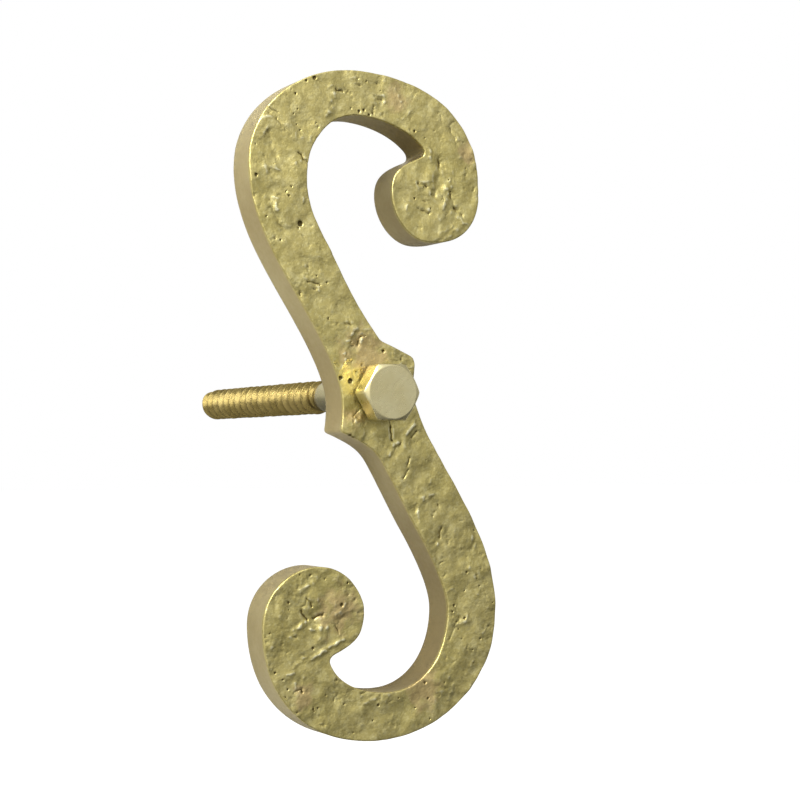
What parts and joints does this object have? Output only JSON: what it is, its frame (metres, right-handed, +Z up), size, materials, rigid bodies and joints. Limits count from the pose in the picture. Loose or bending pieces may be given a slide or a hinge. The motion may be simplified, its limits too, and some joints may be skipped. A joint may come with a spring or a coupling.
{
  "type": "shutter dog holdback",
  "caption": "S-shaped cast brass shutter dog with scroll ends and a hammered face, turning on the plain shank of a hexagon-head lag screw.",
  "frame": {"origin": "on the lag screw's axis, in the surface of the wall that it is driven into", "axes": "+Z up, +X to the right and +Y into the wall, as seen by somebody facing the wall; the dog stands upright with its larger scroll down and its hammered face towards -Y"},
  "size_m": [0.0636, 0.1067, 0.1519],
  "materials": {
    "cast_brass": "sand cast and lightly hammered, satin, uncoated, with copper-pink and brown blotches",
    "turned_brass": "turned and rolled, satin bright on the shank, dull in the thread"
  },
  "bodies": {
    "lag_screw": {"lag_screw": "turned_brass"},
    "dog": {"dog": "cast_brass"}
  },
  "joints": [
    {"name": "dog_pivot", "type": "hinge", "parent": "lag_screw", "child": "dog", "pos_m": [0, -0.03775, 0], "axis": [0, 1, 0], "continuous": true}
  ]
}
